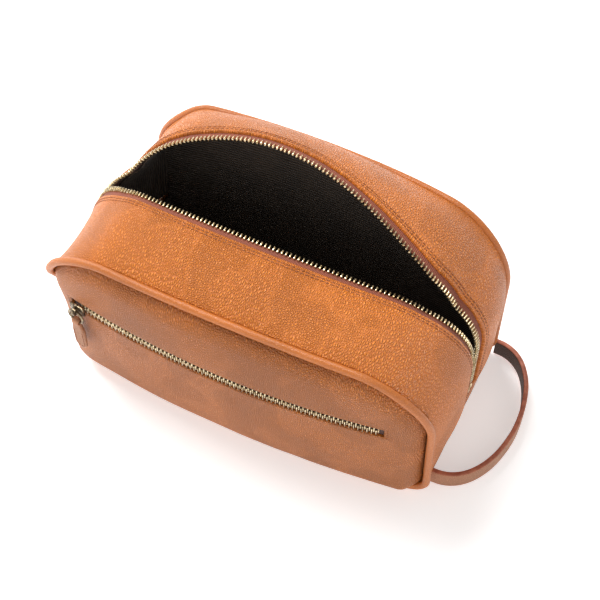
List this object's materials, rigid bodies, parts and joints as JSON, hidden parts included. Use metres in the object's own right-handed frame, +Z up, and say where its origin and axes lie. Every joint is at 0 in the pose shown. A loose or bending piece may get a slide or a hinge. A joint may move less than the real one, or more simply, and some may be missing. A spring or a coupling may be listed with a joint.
{
  "type": "shaving kit bag",
  "caption": "Open zip-top leather shaving kit bag with piped edges, a front zip pocket, a dark lining and a wrist strap at one end.",
  "frame": {"origin": "centre of the base's flat underside", "axes": "+X towards the end with the wrist strap, -Y to the front with the zip pocket, +Z up out of the mouth"},
  "size_m": [0.2907, 0.152, 0.165],
  "materials": {
    "body_leather": "tan pebbled leather, soft sheen",
    "piping_leather": "smooth tan leather wrapped over a cord",
    "strap_leather": "tan leather with a painted red-brown edge",
    "lining": "dark brown ribbed woven lining",
    "zip_tape": "red-brown woven zip tape",
    "zip_metal": "antique brass zip teeth, worn bright on top",
    "pull_metal": "dark antique brass",
    "board": "plain stiffener sheet, hidden"
  },
  "bodies": {
    "root": {"base_band": "body_leather", "base_board": "board", "front_panel": "body_leather", "back_panel": "body_leather", "front_piping": "piping_leather", "back_piping": "piping_leather", "gusset_front_left": "body_leather", "zip_tape_front_left": "zip_tape", "zip_teeth_front_left": "zip_metal", "lining_front_left": "lining", "gusset_front_right": "body_leather", "zip_tape_front_right": "zip_tape", "zip_teeth_front_right": "zip_metal", "lining_front_right": "lining", "gusset_back_left": "body_leather", "zip_tape_back_left": "zip_tape", "zip_teeth_back_left": "zip_metal", "lining_back_left": "lining", "gusset_back_right": "body_leather", "zip_tape_back_right": "zip_tape", "zip_teeth_back_right": "zip_metal", "lining_back_right": "lining", "lining_front": "lining", "lining_back": "lining", "lining_base": "lining", "zip_bottom_stop": "zip_metal", "zip_top_stop_front": "zip_metal", "zip_top_stop_back": "zip_metal", "pocket_chain": "zip_metal", "pocket_tape": "zip_tape", "pocket_bag": "lining", "strap_end_front": "strap_leather", "strap_end_back": "strap_leather"},
    "mouth_front": {"gusset_front_flap": "body_leather", "zip_tape_front_flap": "zip_tape", "zip_teeth_front_flap": "zip_metal", "lining_front_flap": "lining"},
    "mouth_back": {"gusset_back_flap": "body_leather", "zip_tape_back_flap": "zip_tape", "zip_teeth_back_flap": "zip_metal", "lining_back_flap": "lining"},
    "main_slider": {"main_slider": "pull_metal"},
    "main_ring": {"main_pull_ring": "pull_metal"},
    "main_tab": {"main_pull_tab": "strap_leather"},
    "pocket_slider": {"pocket_slider": "pull_metal"},
    "pocket_ring": {"pocket_pull_ring": "pull_metal"},
    "pocket_tab": {"pocket_pull_tab": "strap_leather"},
    "strap": {"wrist_strap": "strap_leather"}
  },
  "joints": [
    {"name": "mouth_front_close", "type": "hinge", "parent": "root", "child": "mouth_front", "pos_m": [0, -0.038, 0.062], "axis": [-1, 0, 0], "range_deg": [0, 11]},
    {"name": "mouth_back_close", "type": "hinge", "parent": "root", "child": "mouth_back", "pos_m": [0, 0.0616, 0.1089], "axis": [1, 0, 0], "range_deg": [0, 28]},
    {"name": "main_slider_travel", "type": "slide", "parent": "root", "child": "main_slider", "axis": [0, 0, 1], "range_m": [0, 0.026]},
    {"name": "main_ring_swing", "type": "hinge", "parent": "main_slider", "child": "main_ring", "pos_m": [-0.12741, 0.00089, 0.048], "axis": [0.2064, 0.9785, 0], "range_deg": [0, 100]},
    {"name": "main_tab_swing", "type": "hinge", "parent": "main_ring", "child": "main_tab", "pos_m": [-0.12741, 0.00089, 0.0376], "axis": [0.2064, 0.9785, 0], "range_deg": [-2, 75]},
    {"name": "pocket_slider_travel", "type": "hinge", "parent": "root", "child": "pocket_slider", "pos_m": [0, 0.48325, 0.0825], "axis": [0, 0, 1], "range_deg": [0, 18.5]},
    {"name": "pocket_ring_swing", "type": "hinge", "parent": "pocket_slider", "child": "pocket_ring", "pos_m": [-0.09875, -0.07641, 0.0825], "axis": [-0.9848, 0.1738, 0], "range_deg": [0, 100]},
    {"name": "pocket_tab_swing", "type": "hinge", "parent": "pocket_ring", "child": "pocket_tab", "pos_m": [-0.09875, -0.07641, 0.0721], "axis": [-0.9848, 0.1738, 0], "range_deg": [-2, 75]},
    {"name": "strap_swing", "type": "hinge", "parent": "root", "child": "strap", "pos_m": [0.134, 0.004, 0.0146], "axis": [0, -1, 0], "range_deg": [0, 70]}
  ]
}
